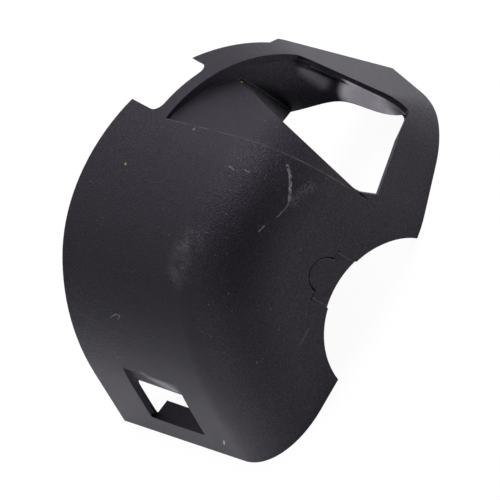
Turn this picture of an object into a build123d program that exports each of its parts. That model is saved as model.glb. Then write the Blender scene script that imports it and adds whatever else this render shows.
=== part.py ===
from build123d import *
import os
from math import cos, radians, sin, tan

# Air filter cover: one moulded hood, open behind and below, with an air intake let into its right shoulder.
# X runs across the hood, -Y points out through its nose, Z is the draw direction of the mould.
# While it is drawn, X = 0 lies on the centre of the pipe notch and Y = 0 at the left foot of the back edge.
# All sizes are millimetres and degrees.

# Moulded wall
WALL = 2.4

# Vault: a cross-section of tangent arcs that narrows towards the nose
APEX_X = 10.8
APEX_Z = 83.6
CROWN_R = 80.0
CROWN_LEFT_TURN = 40.0
CROWN_RIGHT_TURN = 3.0
FLANK_R = 115.0
FLANK_TURN = 26.0
SHOULDER_R = 62.0
SHOULDER_TURN = 69.0
SIDE_TAPER = 9.5

# Front wall, the slanted wall under the intake and the rounding that joins them to the vault
HOOD_DEPTH = 100.3
SILL_TURN_X = 27.0
SILL_TURN = 26.6
SILL_TURN_R = 40.0
SILL_LENGTH = 19.0
CORNER_R = 42.0
CORNER_TURN = 38.0
NOSE_R = 27.0

# Back edge: a plane square to the rim and turned in plan, set back on the centre line
BACK_SETBACK = 18.6
BACK_SLANT = 12.8

# Half-round pipe notch in the front rim
NOTCH_R = 28.6
NOTCH_DROP = 8.9

# Shallow keyhole mark over the notch
KEY_X = 0.9
KEY_WIDTH = 18.0
KEY_SHOULDER_Z = 26.3
KEY_R = 6.0
KEY_DEPTH = 0.8

# Latch window in the left wall, placed in from its foot and forward along it, and the ledge under it
WINDOW_IN = 4.2
WINDOW_WIDTH = 11.1
WINDOW_START = 25.0
WINDOW_LENGTH = 34.0
WINDOW_LIP = 1.5
WINDOW_CORNER_R = 2.5
LEDGE_START = 26.0
LEDGE_REACH = 12.0
LEDGE_TOP = 7.5
LEDGE_THICK = 2.4

# Air intake: hoop behind it, sunk panel beside it, sloping sill below it
HOOP_FRONT = 43.5
CREASE_X = 20.0
CREASE_TURN = 9.9
PANEL_PIVOT_Y = 87.0
PANEL_PIVOT_Z = 60.0
PANEL_PIVOT_DIP = 38.0
PANEL_TILT = 7.0
PANEL_DROP = 0.8
PANEL_EDGE_X = 43.3
PANEL_EDGE_Y = 53.0
PANEL_EDGE_Z = 63.0
PANEL_EDGE_TURN = 9.8
PANEL_EDGE_LEAN = 9.3
PANEL_OVERLAP = 0.5
FOOT_X = 32.6
FOOT_Z = 22.0
FOOT_LEAN = 18.0
OPENING_CORNER_R = 8.0
SCOOP_SHOULDER_Z = 42.0
SCOOP_SHOULDER_R = 5.0
SCOOP_LOW_Y = 77.0
SCOOP_LOW_Z = 13.5
SCOOP_CORNER_R = 2.0
SILL_BEND_Y = 85.0
SILL_BEND_Z = 18.2
SILL_BEND_R = 20.0
SILL_RISE = 16.0
GUSSET_X = 45.2
GUSSET_TURN = 12.1
GUSSET_LENGTH = 42.0
GUSSET_LOW_Z = 33.0
GUSSET_END_Z = 61.0

# Collar behind the intake: where its lower edge runs, and the lip of the hoop that it hangs from
COLLAR_LOW = [
    (43.8, -42.0, 34.1),
    (50.6, -49.3, 29.7),
    (56.3, -56.6, 25.3),
    (58.6, -66.8, 19.2),
    (62.7, -76.9, 13.1),
]
COLLAR_LIP = [
    (43.8, -42.5, 65.0),
    (53.0, -42.8, 57.0),
    (61.0, -43.5, 43.5),
    (64.0, -58.0, 30.0),
    (64.2, -75.5, 14.5),
]
COLLAR_THICK = 1.8
COLLAR_OVERRUN = 1.5

# Cut-out and tab along the back edge
CUT_LEFT_X = 20.5
CUT_RIGHT_X = 43.0
CUT_FRONT_Y = 38.0
CUT_CORNER_R = 4.0
TAB_REACH = 5.0
TAB_HIGH_Z = 43.0
TAB_TOP_Z = 48.0

# Room that cutting shapes take past the hood
REACH = 160.0
BELOW = 15.0

# Share of its length that an edge climbs for it to count as plumb
PLUMB = 0.9999


def arch(inset):
    """Cross-section of the vault in X and Z, with every wall brought in by inset."""
    with BuildSketch() as section:
        with BuildLine():
            top = (APEX_X, APEX_Z - inset)
            crown_left = JernArc(top, (-1, 0), CROWN_R - inset, CROWN_LEFT_TURN)
            flank = JernArc(crown_left @ 1, crown_left % 1, FLANK_R - inset, FLANK_TURN)
            crown_right = JernArc(top, (1, 0), CROWN_R - inset, -CROWN_RIGHT_TURN)
            shoulder = JernArc(crown_right @ 1, crown_right % 1, SHOULDER_R - inset, -SHOULDER_TURN)
            left_leg = Line(flank @ 1, leg_end(flank))
            right_leg = Line(shoulder @ 1, leg_end(shoulder))
            Line(left_leg @ 1, right_leg @ 1)
        make_face()
    return section.sketch.faces()[0]


def leg_end(curve):
    """Point below the rim that the straight leg after a curve runs to."""
    run = ((curve @ 1).Y + BELOW) / -(curve % 1).Y
    return (curve @ 1) + (curve % 1) * run


def front_block(inset):
    """Plan of the front wall and of the slanted wall beside it, as a tall block."""
    front_y = inset - HOOD_DEPTH
    straight_end = SILL_TURN_X - SILL_TURN_R * tan(radians(SILL_TURN / 2))
    with BuildSketch() as plan:
        with BuildLine():
            front = Line((-REACH, front_y), (straight_end, front_y))
            bend = JernArc(front @ 1, (1, 0), SILL_TURN_R - inset, SILL_TURN)
            side = Line(bend @ 1, (bend @ 1) + (bend % 1) * SILL_LENGTH)
            corner = JernArc(side @ 1, side % 1, CORNER_R - inset, CORNER_TURN)
            away = Line(corner @ 1, (corner @ 1) + (corner % 1) * REACH)
            Polyline(away @ 1, ((away @ 1).X, REACH), (-REACH, REACH), (-REACH, front_y))
        make_face()
    return Pos(0, 0, -BELOW) * extrude(plan.sketch, amount=REACH)


def hood(inset):
    """The rounded hood as a solid, with its surface brought in by inset."""
    slope = tan(radians(SIDE_TAPER))
    start = inset / cos(radians(SIDE_TAPER))
    back_y = BACK_SETBACK
    front_y = -HOOD_DEPTH - BELOW
    across = dict(x_dir=(1, 0, 0), z_dir=(0, -1, 0))
    back = Plane(origin=(0, back_y, 0), **across) * arch(start - slope * back_y)
    front = Plane(origin=(0, front_y, 0), **across) * arch(start - slope * front_y)
    sharp = loft([back, front], ruled=True) & front_block(inset)
    return fillet(nose_edges(sharp), NOSE_R - inset)


def nose_edges(solid):
    """Edges where the vault meets the front and slanted walls, left foot to right foot."""
    chosen = []
    for edge in solid.edges():
        middle = edge @ 0.5
        plumb = abs((edge % 0.5).Z) > PLUMB
        ahead = middle.Y < -HOOD_DEPTH + BELOW or middle.X > SILL_TURN_X
        if middle.Y < -HOOD_DEPTH / 2 and middle.Z > -BELOW / 2 and ahead and not plumb:
            chosen.append(edge)
    return chosen


def right_half():
    """All space to the right of the plane X = 0."""
    return Box(2 * REACH, 4 * REACH, 4 * REACH, align=(Align.MIN, Align.CENTER, Align.CENTER))


def right_of_crease():
    return Pos(CREASE_X, -HOOP_FRONT, 0) * Rot(0, 0, CREASE_TURN) * right_half()


def panel_edge():
    """Leaning plane that the free edge of the panel lies in, X pointing out of the panel."""
    turned = Pos(PANEL_EDGE_X, -PANEL_EDGE_Y, PANEL_EDGE_Z) * Rot(0, 0, -PANEL_EDGE_TURN)
    return turned * Rot(0, PANEL_EDGE_LEAN, 0)


def scoop(back_shift, rounded=True):
    """Space over the sill and in front of the hoop, drawn from the side."""
    hoop_y = back_shift - HOOP_FRONT
    nose_z = SILL_BEND_Z + (REACH - SILL_BEND_Y) * tan(radians(SILL_RISE))
    corners = [
        (hoop_y, REACH),
        (hoop_y, SCOOP_SHOULDER_Z),
        (-SCOOP_LOW_Y, SCOOP_LOW_Z),
        (-SILL_BEND_Y, SILL_BEND_Z),
        (-REACH, nose_z),
        (-REACH, REACH),
    ]
    with BuildSketch(Plane.YZ) as side:
        with BuildLine():
            Polyline(*corners, close=True)
        make_face()
        if rounded:
            fillet(side.vertices().sort_by_distance(corners[1])[0], SCOOP_SHOULDER_R)
            fillet(side.vertices().sort_by_distance(corners[2])[0], SCOOP_CORNER_R)
            fillet(side.vertices().sort_by_distance(corners[3])[0], SILL_BEND_R)
    return extrude(side.sketch, amount=REACH)


def sunk(solid):
    """The same hood tipped down to the right about a line that follows the crease."""
    pivot_x = CREASE_X + (PANEL_PIVOT_Y - HOOP_FRONT) * tan(radians(CREASE_TURN))
    place = (pivot_x, -PANEL_PIVOT_Y, PANEL_PIVOT_Z)
    pivot = Location(place, (PANEL_PIVOT_DIP, 0, CREASE_TURN), Extrinsic.XYZ)
    return Pos(0, 0, -PANEL_DROP) * pivot * Rot(0, PANEL_TILT, 0) * pivot.inverse() * solid


def panel_zone(back_shift):
    """Room above the intake panel, from the crease to just past its free edge."""
    strip = right_of_crease() - panel_edge() * Pos(PANEL_OVERLAP, 0, 0) * right_half()
    return scoop(back_shift) & strip


def shell_with_panel(outer, inner):
    """Hood of even wall with the panel sunk below the skin to the right of the crease."""
    outside = outer - (panel_zone(0) - sunk(outer))
    inside = inner - (panel_zone(WALL) - sunk(inner))
    return outside - inside


def intake_opening():
    """Open side of the intake: the panel edge bends round into a short foot that leans on the sill."""
    foot = Pos(FOOT_X, 0, FOOT_Z) * Rot(0, -FOOT_LEAN, 0) * right_half()
    opening = scoop(0, rounded=False) & (panel_edge() * right_half()) & foot
    panel_side = opening.faces().sort_by_distance((PANEL_EDGE_X, -PANEL_EDGE_Y, PANEL_EDGE_Z))[0]
    ahead = panel_side.edges().filter_by(lambda edge: edge.center().Y < -SILL_BEND_Y)
    return fillet(ahead.sort_by(Axis.Z)[0], OPENING_CORNER_R) & scoop(0)


def collar(middle):
    """Curved wall that runs from the lip of the hoop down and inwards to a slanting lower edge."""
    top = []
    for low, lip in zip(COLLAR_LOW, COLLAR_LIP):
        top.append(Vector(low) + (Vector(lip) - Vector(low)) * COLLAR_OVERRUN)
    sheet = Face.make_surface_from_curves(Spline(*COLLAR_LOW), Spline(*top))
    return thicken(sheet, COLLAR_THICK / 2, both=True) & middle


def gusset(middle):
    """Plumb rib under the free edge of the panel that runs out to nothing ahead of the collar."""
    corners = [(0, GUSSET_LOW_Z), (0, REACH), (-GUSSET_LENGTH, REACH), (-GUSSET_LENGTH, GUSSET_END_Z)]
    with BuildSketch(Plane.YZ) as side:
        with BuildLine():
            Polyline(*corners, close=True)
        make_face()
    rib = extrude(side.sketch, amount=-WALL)
    return Pos(GUSSET_X, -HOOP_FRONT, 0) * Rot(0, 0, -GUSSET_TURN) * rib & sunk(middle)


def pipe_notch():
    axis = Plane(origin=(0, -HOOD_DEPTH - WALL, -NOTCH_DROP), x_dir=(1, 0, 0), z_dir=(0, 1, 0))
    return axis * extrude(Circle(NOTCH_R), amount=HOOD_DEPTH / 2)


def key_mark():
    face = Plane(origin=(KEY_X, -HOOD_DEPTH, KEY_SHOULDER_Z), x_dir=(1, 0, 0), z_dir=(0, -1, 0))
    outline = Rectangle(KEY_WIDTH, KEY_SHOULDER_Z, align=(Align.CENTER, Align.MAX)) + Circle(KEY_R)
    return face * extrude(outline, amount=KEY_DEPTH, both=True)


def left_foot():
    """Where the left leg of the vault meets the rim plane at Y = 0."""
    leg_turn = radians(CROWN_LEFT_TURN + FLANK_TURN)
    crown_turn = radians(CROWN_LEFT_TURN)
    joint_x = APEX_X - CROWN_R * sin(crown_turn) - FLANK_R * (sin(leg_turn) - sin(crown_turn))
    joint_z = APEX_Z - CROWN_R * (1 - cos(crown_turn)) - FLANK_R * (cos(crown_turn) - cos(leg_turn))
    return joint_x - joint_z / tan(leg_turn)


def by_left_foot(inboard, forward):
    """Plan point measured in from the left foot, along the back edge, and forward along that foot."""
    x = left_foot() + inboard + forward * tan(radians(SIDE_TAPER))
    return (x, -forward - inboard * tan(radians(BACK_SLANT)))


def foot_block(inboard, width, forward, length, low, high):
    """Upright block over a stretch of the left wall, its sides along the foot and the back edge."""
    corners = [
        by_left_foot(inboard, forward),
        by_left_foot(inboard + width, forward),
        by_left_foot(inboard + width, forward + length),
        by_left_foot(inboard, forward + length),
    ]
    with BuildSketch() as plan:
        with BuildLine():
            Polyline(*corners, close=True)
        make_face()
    return Pos(0, 0, low) * extrude(plan.sketch, amount=high - low)


def latch_window(middle):
    """Window through the left wall, stepped half way in to leave a lip along its top."""
    step = foot_block(WINDOW_IN, WINDOW_WIDTH, WINDOW_START, WINDOW_LENGTH, LEDGE_TOP, APEX_Z) - middle
    hole = foot_block(WINDOW_IN, WINDOW_WIDTH - WINDOW_LIP, WINDOW_START, WINDOW_LENGTH, LEDGE_TOP, APEX_Z)
    return [step, fillet(hole.edges().filter_by(Axis.Z), WINDOW_CORNER_R)]


def latch_ledge(middle):
    length = WINDOW_START + WINDOW_LENGTH - LEDGE_START
    return foot_block(0, LEDGE_REACH, LEDGE_START, length, LEDGE_TOP - LEDGE_THICK, LEDGE_TOP) & middle


def back_edge():
    """What is cut away behind the back edge, short of the tab that widens up the right leg."""
    place = Pos(0, -BACK_SETBACK, 0) * Rot(0, 0, -BACK_SLANT)
    behind = Box(4 * REACH, 2 * REACH, 4 * REACH, align=(Align.CENTER, Align.MIN, Align.CENTER))
    with BuildSketch(Plane.YZ) as side:
        with BuildLine():
            Polyline((0, 0), (TAB_REACH, TAB_HIGH_Z), (0, TAB_TOP_Z), close=True)
        make_face()
    return place * (behind - Pos(CUT_RIGHT_X, 0, 0) * extrude(side.sketch, amount=REACH))


def back_cut_out():
    """Gap in the back edge over the hoop, with rounded inner corners."""
    with BuildSketch() as plan:
        with Locations(((CUT_LEFT_X + CUT_RIGHT_X) / 2, -CUT_FRONT_Y)):
            Rectangle(CUT_RIGHT_X - CUT_LEFT_X, CUT_FRONT_Y, align=(Align.CENTER, Align.MIN))
        fillet(plan.vertices().sort_by(Axis.Y)[:2], CUT_CORNER_R)
    return Pos(0, 0, SCOOP_SHOULDER_Z) * extrude(plan.sketch, amount=REACH)


def below_rim():
    return Box(4 * REACH, 4 * REACH, REACH, align=(Align.CENTER, Align.CENTER, Align.MAX))


def air_filter_cover():
    outer = hood(0)
    middle = hood(WALL / 2)
    cover = shell_with_panel(outer, hood(WALL))
    cover -= intake_opening()
    cover -= latch_window(middle)
    cover += [collar(middle), gusset(middle), latch_ledge(middle)]
    cover -= [pipe_notch(), key_mark(), back_cut_out(), back_edge(), below_rim()]
    box = cover.bounding_box()
    return Pos(-box.center().X, -box.center().Y, 0) * cover


cover = air_filter_cover()
cover.label = "air_filter_cover"
os.makedirs("parts", exist_ok=True)
export_step(cover, "parts/air_filter_cover.step")
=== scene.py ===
import bpy
import math
from mathutils import Matrix, Vector

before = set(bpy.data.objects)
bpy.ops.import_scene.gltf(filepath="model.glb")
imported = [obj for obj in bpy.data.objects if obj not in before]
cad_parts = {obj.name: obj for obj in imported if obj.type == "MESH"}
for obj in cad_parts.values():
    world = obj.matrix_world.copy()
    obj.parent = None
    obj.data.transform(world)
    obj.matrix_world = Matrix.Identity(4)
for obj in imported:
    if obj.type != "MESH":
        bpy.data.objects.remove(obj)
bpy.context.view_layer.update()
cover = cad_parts["air_filter_cover"]

MM = 0.001

# Camera: looks at the hood from the front and above, rolled as the photo is
TARGET = Vector((-1.98, 45.28, -7.14)) * MM
ELEVATION = 34.0
ROLL = 60.0
DISTANCE = 900.0 * MM
LENS = 175.0
SENSOR = 36.0
CLIP_START = 0.05
CLIP_END = 20.0

# Tent: its light, and two dark gaps, each with the angles at which it is full and at which it ends
TENT_LIGHT = 0.55
TENT_COLOUR = (1.0, 0.95, 1.08, 1.0)
WHITE = (1.0, 1.0, 1.0, 1.0)
GAP_LIGHT = 0.03
FRONT_GAP = Vector((-0.45, -0.70, 0.55))
FRONT_GAP_INNER = 28.0
FRONT_GAP_OUTER = 54.0
LOW_GAP = Vector((-0.74, 0.66, -0.10))
LOW_GAP_INNER = 18.0
LOW_GAP_OUTER = 36.0

# Table: half its width in metres, and how white it looks to the camera and in a reflection
TABLE_REACH = 3.0
TABLE_COLOUR = (0.9, 0.9, 0.9, 1.0)
TABLE_GLOW = 1.05
TABLE_SEEN = 0.9
TABLE_MIRRORED = 0.26

# Shade on the far left end of the table, seen in reflections only, with distances in metres
SHADE_WAY = Vector((-0.74, 0.66, 0.0))
SHADE_FROM = 0.1
SHADE_TO = 0.4
SHADE = 0.65

# Soft boxes: the point they face, their colour, and each one's place, size and power, in metres and watts
BOX_AIM = Vector((0.0, 0.0, 0.04))
BOX_COLOUR = (0.94, 0.93, 1.0)
KEY_PLACE = Vector((0.36, 0.07, 1.0))
KEY_SIZE = (0.35, 0.7)
KEY_POWER = 5.2
SIDE_PLACE = Vector((-0.8, -0.1, 0.12))
SIDE_SIZE = (0.8, 0.2)
SIDE_POWER = 0.95
BACK_PLACE = Vector((0.65, 0.8, 0.45))
BACK_SIZE = (0.6, 0.6)
BACK_POWER = 0.55

# Plastic: charcoal with a moulded grain outside, smoother where the hood shelters it, and darker there by
# painted shade
OUTSIDE_COLOUR = (0.0080, 0.0070, 0.0088, 1.0)
# Painted shade: the darker colour of the plastic where the hood shelters it
SHELTER_SHADE_COLOUR = (0.004, 0.0036, 0.0044, 1.0)
OUTSIDE_ROUGH = 0.35
INSIDE_ROUGH = 0.2
SPECULAR = 0.42
SPECULAR_TINT = (0.93, 0.88, 1.0, 1.0)
MOTTLE = 0.2
MOTTLE_SIZE = 0.6 * MM
MOTTLE_BAND = (0.35, 0.65)
GRAIN_SIZE = 0.4 * MM
GRAIN_DEPTH = 0.26 * MM
EDGE_ROUND = 0.5 * MM
SHELTER_REACH = 60.0 * MM
SHELTER_BAND = (0.4, 0.65)

# Rays that feel for shelter and for edges at each point of the plastic
FEELER_RAYS = 8

# Colours of the marks and of the painted reflections and highlights
CHALKY = (0.26, 0.255, 0.27, 1.0)
PALE = (0.16, 0.155, 0.16, 1.0)
# Colour of the rubbed patches and the crease line, and of the painted highlights beside the keyhole
DUST_AND_GLINT_COLOUR = (0.08, 0.078, 0.08, 1.0)
YELLOW = (0.35, 0.25, 0.08, 1.0)
# Pale colour of the chip, and of the painted reflection on the collar and the painted highlight over the
# latch window
CHIP_AND_SHEEN_COLOUR = (0.75, 0.74, 0.75, 1.0)
BLACK = (0.001, 0.001, 0.001, 1.0)

# Fine marks: lines through points in millimetres, with their widths and shares of colour
HAIRLINE = 0.1 * MM
SOFT_EDGE = 0.3 * MM
SCRATCH = [(27.7, -44.6, 57.4), (25.6, -46.3, 55.7), (23.1, -47.4, 54.6), (18.5, -48.6, 52.7)]
SCRATCH_WIDTH = 0.7 * MM
SCRATCH_TAIL = [(18.5, -48.6, 52.7), (16.1, -48.8, 52.2), (11.7, -48.5, 53.4)]
TAIL_SHARE = 0.8
THIN_SCRATCH = [(-14.5, -50.2, 21.2), (-20.5, -50.2, 21.0)]
THIN_SHARE = 0.35
FLANK_LINE = [(-51.7, 37.6, 48.3), (-50.8, 28.4, 46.8), (-49.6, 18.8, 45.6)]
FLANK_SHARE = 0.25
HAIR = [(-46.3, 16.2, 48.9), (-44.3, 12.2, 50.2), (-44.1, 9.9, 49.8), (-45.8, 12.0, 48.4)]
HAIR_SHARE = 0.8
CHIP = [(-63.4, -21.5, 7.6), (-64.8, -20.0, 5.8)]
CHIP_WIDTH = 0.4 * MM
TICKS = [
    [(18.4, -32.7, 69.0), (18.0, -34.8, 68.1)],
    [(19.7, -37.7, 66.2), (19.7, -39.2, 65.2)],
    [(7.1, -47.5, 55.3), (4.7, -47.1, 55.8)],
]

# Specks at points in millimetres, and the fine dust over the whole part, sized as shares of its spacing
FLECKS = [(23.6, -8.3, 72.9), (-57.9, 21.7, 34.7)]
FLECK_RADIUS = 0.35 * MM
YELLOW_SPECKS = [(2.2, 13.0, 76.5), (46.2, 4.8, 58.0)]
YELLOW_RADIUS = 0.4 * MM
DUST_SPACING = 2.2 * MM
DUST_BAND = (0.06, 0.13)
DUST_RARITY = 0.75

# Raggedness of the marks, and the noise that breaks them up
SHAKE_SIZE = 0.7 * MM
SHAKE = 0.5 * MM
NOISE_MIDDLE = (0.5, 0.5, 0.5)
SPECKLE_SIZE = 0.6 * MM
SPECKLE_DETAIL = 4.0
SPECKLE_BAND = (0.3, 0.65)

# Rubbed patches: lines through points in millimetres, how far they spread, and their clouds
SCUFF = [(-8.0, -31.5, 66.0), (-13.5, -28.5, 65.0), (-20.0, -26.0, 62.0)]
SCUFF_REACH = 8.0 * MM
SMUDGE = [(25.7, -49.1, 48.2), (23.0, -49.1, 49.8), (19.0, -49.1, 51.0)]
SMUDGE_REACH = 3.0 * MM
CLOUD_SIZE = 5.0 * MM
CLOUD_DETAIL = 3.0
CLOUD_BAND = (0.3, 0.6)

# How nearly a surface has to face a given way to take a mark, as cosines of the angle between
FACING_BAND = (0.86, 0.95)

# Pale painted reflection on the collar and pale painted highlight over the latch window: lines in
# millimetres, and how far they spread
COLLAR_SHEEN = [(62.5, -11.0, 26.5), (63.5, -16.0, 22.5), (64.5, -25.0, 15.5)]
COLLAR_SHEEN_FACING = Vector((-0.60, -0.50, 0.62))
COLLAR_SHEEN_INNER = 3.0 * MM
COLLAR_SHEEN_OUTER = 7.0 * MM
SHEEN_CLOUD_SIZE = 9.0 * MM
SHEEN_CLOUD_DETAIL = 2.0
SHEEN_CLOUD_BAND = (0.3, 0.7)
SHEEN_LEAST = 0.7
STREAK = [(61.5, 3.0, 39.0), (60.8, -1.5, 33.0)]
STREAK_REACH = 4.0 * MM
STREAK_SHARE = 0.15
WINDOW_TOP = [(-57.5, 9.0, 28.6), (-56.8, -6.0, 24.5)]
WINDOW_TOP_FACING = Vector((-0.87, -0.17, 0.46))
WINDOW_TOP_REACH = 3.5 * MM
WINDOW_TOP_SHARE = 0.5

# Painted shade in strips: the lip of the hoop and the ledge in the latch window, as lines in millimetres
LIP = [
    (63.4, 6.3, 42.6),
    (65.1, 0.1, 36.4),
    (66.2, -11.8, 26.3),
    (66.0, -21.7, 18.8),
    (65.0, -26.0, 15.0),
]
LIP_FACING = Vector((0.0, -0.65, 0.76))
LIP_REACH = 3.2 * MM
LIP_SHADE = 0.7
LEDGE = [(-66.0, 24.0, 7.5), (-65.5, -2.0, 7.5)]
LEDGE_FACING = Vector((0.0, 0.0, 1.0))
LEDGE_REACH = 8.0 * MM
LEDGE_SHADE = 0.6

# Black patch on the rib beside the intake: its middle, its spread and the pale flecks in it
RASP = Vector((45.0, -4.0, 52.0)) * MM
RASP_FACING = Vector((0.98, -0.21, 0.0))
RASP_INNER = 22.0 * MM
RASP_OUTER = 26.0 * MM
RASP_FLECK_SIZE = 0.6 * MM
RASP_FLECK_DETAIL = 3.0
RASP_FLECK_BAND = (0.6, 0.72)

# Crease beside the intake: where it starts behind, its turn in plan, and the paler line on it
CREASE_START = Vector((22.34, 6.6, 0.0)) * MM
CREASE_TURN = 9.9
CREASE_LINE = 0.2 * MM
CREASE_LOW = 34.0 * MM
CREASE_PATCH_SIZE = 4.0 * MM
CREASE_PATCH_DETAIL = 3.0
CREASE_PATCH_BAND = (0.3, 0.7)
CREASE_PATCH_LEAST = 0.2

# Keyhole mark of painted shade and highlights: its middle, half width, shoulder height, round head and
# outline, and where the front begins
KEYHOLE_MIDDLE = 3.24 * MM
KEYHOLE_HALF = 9.0 * MM
KEYHOLE_SHOULDER = 26.3 * MM
KEYHOLE_HEAD = 6.0 * MM
KEYHOLE_LINE = 0.45 * MM
KEYHOLE_GLINT = 0.2 * MM
FRONT_FROM = -47.5 * MM

# Numbers of the colour sockets of a mix node, which share their names with the sockets of other types
MIX_SHARE = 0
MIX_FIRST = 6
MIX_SECOND = 7
MIX_RESULT = 2


def camera_axes():
    """Unit vectors to the right, up and back of the rolled camera."""
    el = math.radians(ELEVATION)
    roll = math.radians(ROLL)
    back = Vector((0, -math.cos(el), math.sin(el)))
    flat_right = Vector((1, 0, 0))
    flat_up = back.cross(flat_right)
    right = flat_right * math.cos(roll) - flat_up * math.sin(roll)
    up = flat_right * math.sin(roll) + flat_up * math.cos(roll)
    return right, up, back


def add_camera():
    """Camera that looks at the target from a long way off, so that lines stay nearly parallel."""
    right, up, back = camera_axes()
    data = bpy.data.cameras.new("camera")
    data.lens = LENS
    data.sensor_width = SENSOR
    data.clip_start = CLIP_START
    data.clip_end = CLIP_END
    camera = bpy.data.objects.new("camera", data)
    bpy.context.scene.collection.objects.link(camera)
    turn = Matrix((right, up, back)).transposed().to_4x4()
    camera.matrix_world = Matrix.Translation(TARGET + back * DISTANCE) @ turn
    bpy.context.scene.camera = camera


def node(tree, kind, inputs=None, **settings):
    """Adds a shader node, sets its properties, and links or sets its inputs."""
    made = tree.nodes.new(kind)
    for key, value in settings.items():
        setattr(made, key, value)
    for key, value in (inputs or {}).items():
        socket = made.inputs[key]
        if isinstance(value, bpy.types.NodeSocket):
            tree.links.new(value, socket)
        else:
            socket.default_value = value
    return made


def maths(tree, operation, first, second=0.0, **settings):
    """Number worked out from one or two numbers."""
    made = node(tree, "ShaderNodeMath", {0: first, 1: second}, operation=operation, **settings)
    return made.outputs[0]


def times(tree, first, *others):
    """Product of several numbers."""
    for other in others:
        first = maths(tree, "MULTIPLY", first, other)
    return first


def vectors(tree, operation, first, second):
    """Vector worked out from two vectors."""
    made = node(tree, "ShaderNodeVectorMath", {0: first, 1: second}, operation=operation)
    return made.outputs["Vector"]


def scaled(tree, vector, share):
    """The same vector made longer or shorter."""
    made = node(tree, "ShaderNodeVectorMath", {0: vector, "Scale": share}, operation="SCALE")
    return made.outputs["Vector"]


def measure(tree, operation, first, second):
    """Number worked out from two vectors, such as the distance between them."""
    made = node(tree, "ShaderNodeVectorMath", {0: first, 1: second}, operation=operation)
    return made.outputs["Value"]


def ramp(tree, value, low, high, at_low=0.0, at_high=1.0):
    """Smooth change from one value to another while the input goes from low to high."""
    return node(tree, "ShaderNodeMapRange", {
        "Value": value,
        "From Min": low,
        "From Max": high,
        "To Min": at_low,
        "To Max": at_high,
    }, interpolation_type="SMOOTHSTEP").outputs["Result"]


def blend(tree, share, first, second):
    """Colour that goes from first to second as share goes from zero to one."""
    inputs = {MIX_SHARE: share, MIX_FIRST: first, MIX_SECOND: second}
    return node(tree, "ShaderNodeMix", inputs, data_type="RGBA").outputs[MIX_RESULT]


def noise(tree, place, size, detail=2.0):
    """Noise node with features of about the given size."""
    return node(tree, "ShaderNodeTexNoise", {"Vector": place, "Scale": 1 / size, "Detail": detail})


def noise_ramp(tree, place, size, detail, band, at_low=0.0, at_high=1.0):
    """Noise with its contrast raised to lie between two values."""
    return ramp(tree, noise(tree, place, size, detail).outputs["Fac"], *band, at_low, at_high)


def new_material(name):
    """Empty material and its node tree."""
    made = bpy.data.materials.new(name)
    made.use_nodes = True
    made.node_tree.nodes.clear()
    return made, made.node_tree


def distance_to_line(tree, place, points):
    """Distance to a line through points given in millimetres."""
    nearest = None
    for start, end in zip(points, points[1:]):
        run = (Vector(end) - Vector(start)) * MM
        away = vectors(tree, "SUBTRACT", place, Vector(start) * MM)
        share = measure(tree, "DOT_PRODUCT", away, run / run.length_squared)
        held = maths(tree, "MULTIPLY", share, 1.0, use_clamp=True)
        gap = measure(tree, "DISTANCE", away, scaled(tree, run, held))
        nearest = gap if nearest is None else maths(tree, "MINIMUM", nearest, gap)
    return nearest


def line_mask(tree, place, points, width, share=1.0):
    """Mask of a line of even width with soft edges."""
    gap = distance_to_line(tree, place, points)
    return ramp(tree, gap, width / 2, width / 2 + SOFT_EDGE, share, 0.0)


def speck_mask(tree, place, centres, radius):
    """Mask of round specks at points given in millimetres."""
    nearest = None
    for centre in centres:
        gap = measure(tree, "DISTANCE", place, Vector(centre) * MM)
        nearest = gap if nearest is None else maths(tree, "MINIMUM", nearest, gap)
    return ramp(tree, nearest, radius, radius + SOFT_EDGE, 1.0, 0.0)


def shaken(tree, place):
    """The same place moved about a little, so that marks get ragged edges."""
    shake = noise(tree, place, SHAKE_SIZE).outputs["Color"]
    around = vectors(tree, "SUBTRACT", shake, NOISE_MIDDLE)
    return vectors(tree, "ADD", place, scaled(tree, around, SHAKE))


def keyhole_lines(tree, place):
    """Masks of the keyhole's outline on the front wall: painted shade on its upper part and painted
    highlights on its right and lower sides.
    """
    apart = node(tree, "ShaderNodeSeparateXYZ", {0: place})
    across = maths(tree, "SUBTRACT", apart.outputs["X"], KEYHOLE_MIDDLE)
    height = maths(tree, "SUBTRACT", apart.outputs["Z"], KEYHOLE_SHOULDER)
    beside = maths(tree, "SUBTRACT", maths(tree, "ABSOLUTE", across), KEYHOLE_HALF)
    block = maths(tree, "MAXIMUM", beside, height)
    flat = node(tree, "ShaderNodeCombineXYZ", {"X": across, "Y": height})
    reach = measure(tree, "DISTANCE", flat.outputs["Vector"], (0.0, 0.0, 0.0))
    head = maths(tree, "SUBTRACT", reach, KEYHOLE_HEAD)
    edge = maths(tree, "MINIMUM", block, head)
    front = ramp(tree, apart.outputs["Y"], FRONT_FROM - MM, FRONT_FROM, 1.0, 0.0)
    line = ramp(tree, maths(tree, "ABSOLUTE", edge), KEYHOLE_LINE / 2, KEYHOLE_LINE, 1.0, 0.0)
    high = ramp(tree, height, -MM, 0.0)
    inner = maths(tree, "ABSOLUTE", maths(tree, "ADD", edge, 2 * KEYHOLE_GLINT))
    glint = ramp(tree, inner, KEYHOLE_GLINT / 2, 2 * KEYHOLE_GLINT, 1.0, 0.0)
    right = ramp(tree, across, -MM, MM)
    low = ramp(tree, height, 0.0, -MM)
    right_or_low = maths(tree, "MAXIMUM", right, low)
    return times(tree, line, high, front), times(tree, glint, right_or_low, front)


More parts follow.
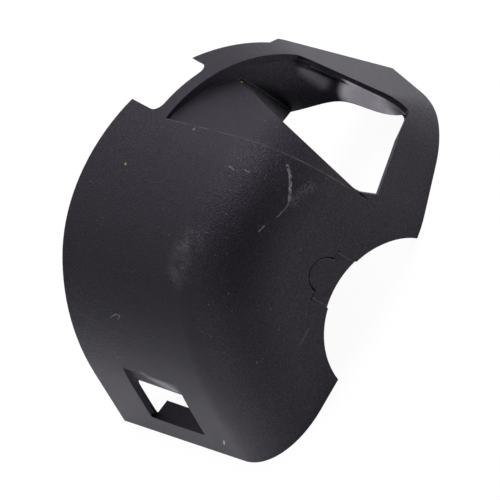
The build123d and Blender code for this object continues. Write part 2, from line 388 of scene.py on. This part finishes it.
def crease_line(tree, place, outside):
    """Mask of the fine paler line along the crease."""
    turn = math.radians(CREASE_TURN)
    square = (math.cos(turn), math.sin(turn), 0.0)
    away = vectors(tree, "SUBTRACT", place, CREASE_START)
    aside = maths(tree, "ABSOLUTE", measure(tree, "DOT_PRODUCT", away, square))
    line = ramp(tree, aside, CREASE_LINE / 2, 2 * CREASE_LINE, 1.0, 0.0)
    apart = node(tree, "ShaderNodeSeparateXYZ", {0: place})
    ahead = ramp(tree, apart.outputs["Y"], CREASE_START.y - MM, CREASE_START.y, 1.0, 0.0)
    high = ramp(tree, apart.outputs["Z"], CREASE_LOW, CREASE_LOW + MM)
    patchy = noise_ramp(
        tree, place, CREASE_PATCH_SIZE, CREASE_PATCH_DETAIL, CREASE_PATCH_BAND, CREASE_PATCH_LEAST
    )
    return times(tree, line, ahead, high, patchy, outside)


def broken_up(tree, place, mask):
    """The same mask with the grain showing through it."""
    return times(tree, mask, noise_ramp(tree, place, SPECKLE_SIZE, SPECKLE_DETAIL, SPECKLE_BAND))


def rubbed_patch(tree, place, points, reach):
    """Dusty patch along a line, uneven and broken up by the grain."""
    patch = ramp(tree, distance_to_line(tree, place, points), 0.0, reach, 1.0, 0.0)
    cloud = noise_ramp(tree, place, CLOUD_SIZE, CLOUD_DETAIL, CLOUD_BAND)
    return broken_up(tree, place, times(tree, patch, cloud))


def faces(tree, way):
    """Mask of the surfaces that face nearly the given way."""
    out = node(tree, "ShaderNodeNewGeometry").outputs["Normal"]
    return ramp(tree, measure(tree, "DOT_PRODUCT", out, way.normalized()), *FACING_BAND)


def painted_reflection_mask(tree, place):
    """Pale painted reflection on the collar behind the intake, with a fainter painted streak before it."""
    gap = distance_to_line(tree, place, COLLAR_SHEEN)
    patch = ramp(tree, gap, COLLAR_SHEEN_INNER, COLLAR_SHEEN_OUTER, 1.0, 0.0)
    uneven = noise_ramp(
        tree, place, SHEEN_CLOUD_SIZE, SHEEN_CLOUD_DETAIL, SHEEN_CLOUD_BAND, SHEEN_LEAST
    )
    collar_sheen = times(tree, patch, uneven, faces(tree, COLLAR_SHEEN_FACING))
    streak = ramp(tree, distance_to_line(tree, place, STREAK), 0.0, STREAK_REACH, STREAK_SHARE, 0.0)
    return maths(tree, "MAXIMUM", collar_sheen, streak)


def painted_window_highlight(tree, place):
    """Painted highlight on the stepped face over the latch window."""
    gap = distance_to_line(tree, place, WINDOW_TOP)
    near = ramp(tree, gap, 0.0, WINDOW_TOP_REACH, WINDOW_TOP_SHARE, 0.0)
    return times(tree, near, faces(tree, WINDOW_TOP_FACING))


def painted_shade_strip(tree, place, points, reach, facing, shade):
    """Strip of painted shade along a line, on the surfaces that face one way, that mirrors little light."""
    near = ramp(tree, distance_to_line(tree, place, points), reach - MM, reach, shade, 0.0)
    return times(tree, near, faces(tree, facing))


def rasp_masks(tree, place):
    """Black patch on the rib beside the intake, and the pale flecks in it."""
    gap = measure(tree, "DISTANCE", place, RASP)
    near = ramp(tree, gap, RASP_INNER, RASP_OUTER, 1.0, 0.0)
    black_patch = times(tree, near, faces(tree, RASP_FACING))
    flecks = noise_ramp(tree, place, RASP_FLECK_SIZE, RASP_FLECK_DETAIL, RASP_FLECK_BAND)
    return black_patch, times(tree, black_patch, flecks)


def dust_mask(tree, place):
    """Sparse fine specks over the whole part."""
    cells = node(tree, "ShaderNodeTexVoronoi", {"Vector": place, "Scale": 1 / DUST_SPACING})
    near = ramp(tree, cells.outputs["Distance"], *DUST_BAND, 1.0, 0.0)
    drawn = node(tree, "ShaderNodeSeparateXYZ", {0: cells.outputs["Color"]}).outputs["X"]
    return times(tree, near, ramp(tree, drawn, DUST_RARITY, 1.0))


def marked_colour(tree, place, plastic, outside, glint):
    """Colour of the plastic with the wear and dirt that the photo shows, and with painted reflections and
    highlights, one mark over another.
    """
    ragged = shaken(tree, place)
    black_patch, black_patch_flecks = rasp_masks(tree, place)
    scratch = broken_up(tree, place, line_mask(tree, ragged, SCRATCH, SCRATCH_WIDTH))
    marks = [
        # Painted reflection on the collar
        (painted_reflection_mask(tree, place), CHIP_AND_SHEEN_COLOUR),
        (black_patch, BLACK),
        (black_patch_flecks, PALE),
        (rubbed_patch(tree, place, SCUFF, SCUFF_REACH), DUST_AND_GLINT_COLOUR),
        (rubbed_patch(tree, place, SMUDGE, SMUDGE_REACH), DUST_AND_GLINT_COLOUR),
        (dust_mask(tree, place), PALE),
        (scratch, CHALKY),
        (line_mask(tree, ragged, SCRATCH_TAIL, HAIRLINE, TAIL_SHARE), PALE),
        (line_mask(tree, place, THIN_SCRATCH, HAIRLINE, THIN_SHARE), PALE),
        (line_mask(tree, place, FLANK_LINE, HAIRLINE, FLANK_SHARE), PALE),
        (line_mask(tree, place, HAIR, HAIRLINE, HAIR_SHARE), CHALKY),
        (crease_line(tree, place, outside), DUST_AND_GLINT_COLOUR),
    ]
    for tick in TICKS:
        marks.append((line_mask(tree, ragged, tick, HAIRLINE), PALE))
    marks += [
        (line_mask(tree, ragged, CHIP, CHIP_WIDTH), CHIP_AND_SHEEN_COLOUR),
        # Painted highlight over the latch window
        (painted_window_highlight(tree, place), CHIP_AND_SHEEN_COLOUR),
        (speck_mask(tree, ragged, FLECKS, FLECK_RADIUS), PALE),
        (speck_mask(tree, ragged, YELLOW_SPECKS, YELLOW_RADIUS), YELLOW),
        # Painted highlights beside the keyhole
        (glint, DUST_AND_GLINT_COLOUR),
    ]
    colour = plastic
    for mask, paint in marks:
        colour = blend(tree, mask, colour, paint)
    return colour


def shelter(tree):
    """How open the surface lies: one outside, and nothing where the hood shelters it."""
    light = node(
        tree, "ShaderNodeAmbientOcclusion", {"Distance": SHELTER_REACH},
        only_local=True, samples=FEELER_RAYS,
    )
    return ramp(tree, light.outputs["AO"], *SHELTER_BAND)


def grained_normal(tree, place, outside):
    """Direction of the surface with softened edges, and with the moulded grain outside."""
    rounded = node(tree, "ShaderNodeBevel", {"Radius": EDGE_ROUND}, samples=FEELER_RAYS)
    return node(tree, "ShaderNodeBump", {
        "Strength": 1.0,
        "Distance": GRAIN_DEPTH,
        "Height": times(tree, noise(tree, place, GRAIN_SIZE).outputs["Fac"], outside),
        "Normal": rounded.outputs["Normal"],
    }).outputs["Normal"]


def cover_material():
    """Charcoal plastic, grained where it lies open and smoother where the hood shelters it."""
    made, tree = new_material("cover_plastic")
    place = node(tree, "ShaderNodeTexCoord").outputs["Object"]
    outside = shelter(tree)
    mottle = noise(tree, place, MOTTLE_SIZE).outputs["Fac"]
    dull = SPECULAR * (1 - MOTTLE)
    bright = SPECULAR * (1 + MOTTLE)
    # Painted shade and painted highlights along the keyhole's outline
    keyhole_shade, glint = keyhole_lines(tree, place)
    lip = painted_shade_strip(tree, place, LIP, LIP_REACH, LIP_FACING, LIP_SHADE)
    ledge = painted_shade_strip(tree, place, LEDGE, LEDGE_REACH, LEDGE_FACING, LEDGE_SHADE)
    # Painted shade at the keyhole's outline, the hoop's lip and the window's ledge: black and metallic, so
    # that it mirrors little light
    painted_shade = maths(tree, "MAXIMUM", keyhole_shade, maths(tree, "MAXIMUM", lip, ledge))
    # Painted shade: the colour goes darker where the hood shelters the surface
    plastic = blend(tree, outside, SHELTER_SHADE_COLOUR, OUTSIDE_COLOUR)
    marked = marked_colour(tree, place, plastic, outside, glint)
    shader = node(tree, "ShaderNodeBsdfPrincipled", {
        "Base Color": blend(tree, painted_shade, marked, BLACK),
        "Metallic": painted_shade,
        "Roughness": ramp(tree, outside, 0.0, 1.0, INSIDE_ROUGH, OUTSIDE_ROUGH),
        "Specular IOR Level": ramp(tree, mottle, *MOTTLE_BAND, dull, bright),
        "Specular Tint": SPECULAR_TINT,
        "Normal": grained_normal(tree, place, outside),
    })
    out = node(tree, "ShaderNodeOutputMaterial")
    tree.links.new(shader.outputs["BSDF"], out.inputs["Surface"])
    return made


def white_share(tree):
    """How much plain white the table shows: most to the camera, less in a reflection, none as light."""
    path = node(tree, "ShaderNodeLightPath").outputs
    seen = times(tree, path["Is Camera Ray"], TABLE_SEEN)
    mirrored = maths(tree, "MAXIMUM", path["Is Glossy Ray"], path["Is Transmission Ray"])
    return maths(tree, "MAXIMUM", seen, times(tree, mirrored, TABLE_MIRRORED))


def far_shade(tree):
    """How dark the far left end of the table looks in a reflection."""
    place = node(tree, "ShaderNodeTexCoord").outputs["Object"]
    along = measure(tree, "DOT_PRODUCT", place, SHADE_WAY.normalized())
    far = ramp(tree, along, SHADE_FROM, SHADE_TO, 0.0, SHADE)
    mirrored = node(tree, "ShaderNodeLightPath").outputs["Is Glossy Ray"]
    return times(tree, far, mirrored)


def floor_material():
    """White table that looks plain white and keeps a faint shadow."""
    made, tree = new_material("table_white")
    lit = node(tree, "ShaderNodeBsdfDiffuse", {"Color": TABLE_COLOUR})
    white = node(tree, "ShaderNodeEmission", {"Color": WHITE, "Strength": TABLE_GLOW})
    mixed = node(tree, "ShaderNodeMixShader", {
        0: white_share(tree),
        1: lit.outputs["BSDF"],
        2: white.outputs["Emission"],
    })
    black = node(tree, "ShaderNodeEmission", {"Strength": 0.0})
    shaded = node(tree, "ShaderNodeMixShader", {
        0: far_shade(tree),
        1: mixed.outputs["Shader"],
        2: black.outputs["Emission"],
    })
    out = node(tree, "ShaderNodeOutputMaterial")
    tree.links.new(shaded.outputs["Shader"], out.inputs["Surface"])
    return made


def add_floor():
    """Square table top at the height of the part's foot."""
    mesh = bpy.data.meshes.new("floor")
    ways = ((-1, -1), (1, -1), (1, 1), (-1, 1))
    corners = [(x * TABLE_REACH, y * TABLE_REACH, 0) for x, y in ways]
    mesh.from_pydata(corners, [], [(0, 1, 2, 3)])
    floor = bpy.data.objects.new("floor", mesh)
    bpy.context.scene.collection.objects.link(floor)
    floor.data.materials.append(floor_material())


def add_soft_box(name, place, size, power):
    """Rectangular lamp that faces the part."""
    data = bpy.data.lights.new(name, "AREA")
    data.shape = "RECTANGLE"
    data.size, data.size_y = size
    data.energy = power
    data.color = BOX_COLOUR
    light = bpy.data.objects.new(name, data)
    bpy.context.scene.collection.objects.link(light)
    light.location = place
    light.rotation_euler = (BOX_AIM - place).to_track_quat("-Z", "Y").to_euler()


def tent_gap(tree, way, towards, inner, outer):
    """Light of the tent, which falls off from an outer to an inner angle round a dark gap."""
    facing = measure(tree, "DOT_PRODUCT", way, towards.normalized())
    edge = math.cos(math.radians(outer))
    full = math.cos(math.radians(inner))
    return ramp(tree, facing, edge, full, TENT_LIGHT, GAP_LIGHT)


def add_world():
    """Pale tent, plain white to the camera, with dark gaps before the hood and low behind its left side."""
    world = bpy.data.worlds.new("studio")
    world.use_nodes = True
    tree = world.node_tree
    tree.nodes.clear()
    way = node(tree, "ShaderNodeTexCoord").outputs["Generated"]
    front = tent_gap(tree, way, FRONT_GAP, FRONT_GAP_INNER, FRONT_GAP_OUTER)
    low = tent_gap(tree, way, LOW_GAP, LOW_GAP_INNER, LOW_GAP_OUTER)
    tent = maths(tree, "MINIMUM", front, low)
    seen = node(tree, "ShaderNodeLightPath").outputs["Is Camera Ray"]
    sky = node(tree, "ShaderNodeBackground", {
        "Color": blend(tree, seen, TENT_COLOUR, WHITE),
        "Strength": maths(tree, "MAXIMUM", tent, seen),
    })
    out = node(tree, "ShaderNodeOutputWorld")
    tree.links.new(sky.outputs["Background"], out.inputs["Surface"])
    bpy.context.scene.world = world


cover.material_slots[0].material = cover_material()
add_camera()
add_floor()
add_world()
add_soft_box("key", KEY_PLACE, KEY_SIZE, KEY_POWER)
add_soft_box("side", SIDE_PLACE, SIDE_SIZE, SIDE_POWER)
add_soft_box("back", BACK_PLACE, BACK_SIZE, BACK_POWER)
bpy.context.scene.view_settings.view_transform = "Standard"
